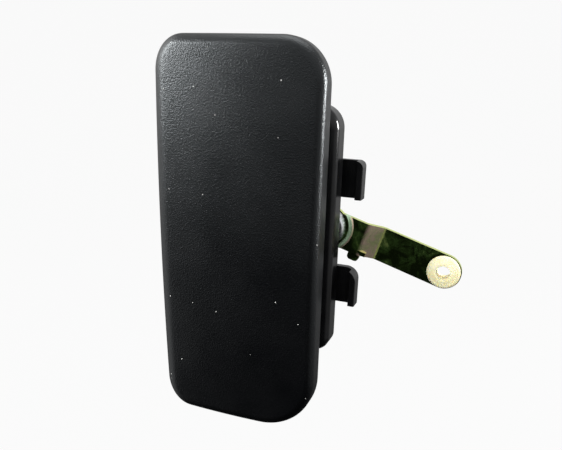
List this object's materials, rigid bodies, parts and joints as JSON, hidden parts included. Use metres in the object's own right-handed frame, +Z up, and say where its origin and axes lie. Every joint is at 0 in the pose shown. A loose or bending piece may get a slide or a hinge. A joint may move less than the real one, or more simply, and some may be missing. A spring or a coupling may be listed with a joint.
{
  "type": "car door handle",
  "caption": "Flap-type outside door handle: a grained paddle hinged on a studded, hooked base, working a plated bell crank with a nylon rod bush.",
  "frame": {"origin": "midway between the two mounting studs, on the outer face of the door skin", "axes": "+Z up the handle's long axis, +Y into the door along the studs, +X towards the hinge side"},
  "size_m": [0.1104, 0.044, 0.1392],
  "materials": {
    "base_black": "satin",
    "grained_black": "fine_grain",
    "foam_rubber": "matte",
    "black_rubber": "matte",
    "clear_zinc": "satin",
    "spring_steel": "satin",
    "yellow_chromate": "iridescent",
    "natural_nylon": "satin"
  },
  "bodies": {
    "base": {"base_body": "base_black", "base_gasket": "foam_rubber", "stop_bumpers": "black_rubber", "mounting_studs": "clear_zinc", "stud_seals": "foam_rubber", "hinge_pin": "clear_zinc", "hinge_pin_clip": "spring_steel", "pivot_rivet": "clear_zinc", "spring_cup": "clear_zinc", "pivot_washer": "clear_zinc", "crank_spring": "spring_steel", "paddle_spring": "spring_steel"},
    "paddle": {"paddle_shell": "grained_black", "paddle_carrier": "base_black", "carrier_screws": "clear_zinc", "cam_shoe": "natural_nylon", "hinge_bushes": "natural_nylon"},
    "crank": {"bell_crank": "yellow_chromate", "pivot_bush": "natural_nylon"},
    "rod_clip": {"rod_bush": "natural_nylon"}
  },
  "joints": [
    {"name": "paddle_hinge", "type": "hinge", "parent": "base", "child": "paddle", "pos_m": [0.022, -0.0126, 0], "axis": [0, 0, 1], "range_deg": [0, 25], "stiffness_Nm_per_rad": 0.35, "springref_deg": -20.05, "deforming": ["paddle_spring"]},
    {"name": "crank_pivot", "type": "hinge", "parent": "base", "child": "crank", "pos_m": [0.0257, 0.007, 0.00165], "axis": [0, -1, 0], "range_deg": [0, 25], "deforming": ["crank_spring"]},
    {"name": "rod_bush_swivel", "type": "hinge", "parent": "crank", "child": "rod_clip", "pos_m": [0.0698, 0.0115, -0.0119], "axis": [0, 1, 0], "continuous": true}
  ],
  "couplings": [
    {"joint": "crank_pivot", "follows": "paddle_hinge", "ratio": 1}
  ]
}
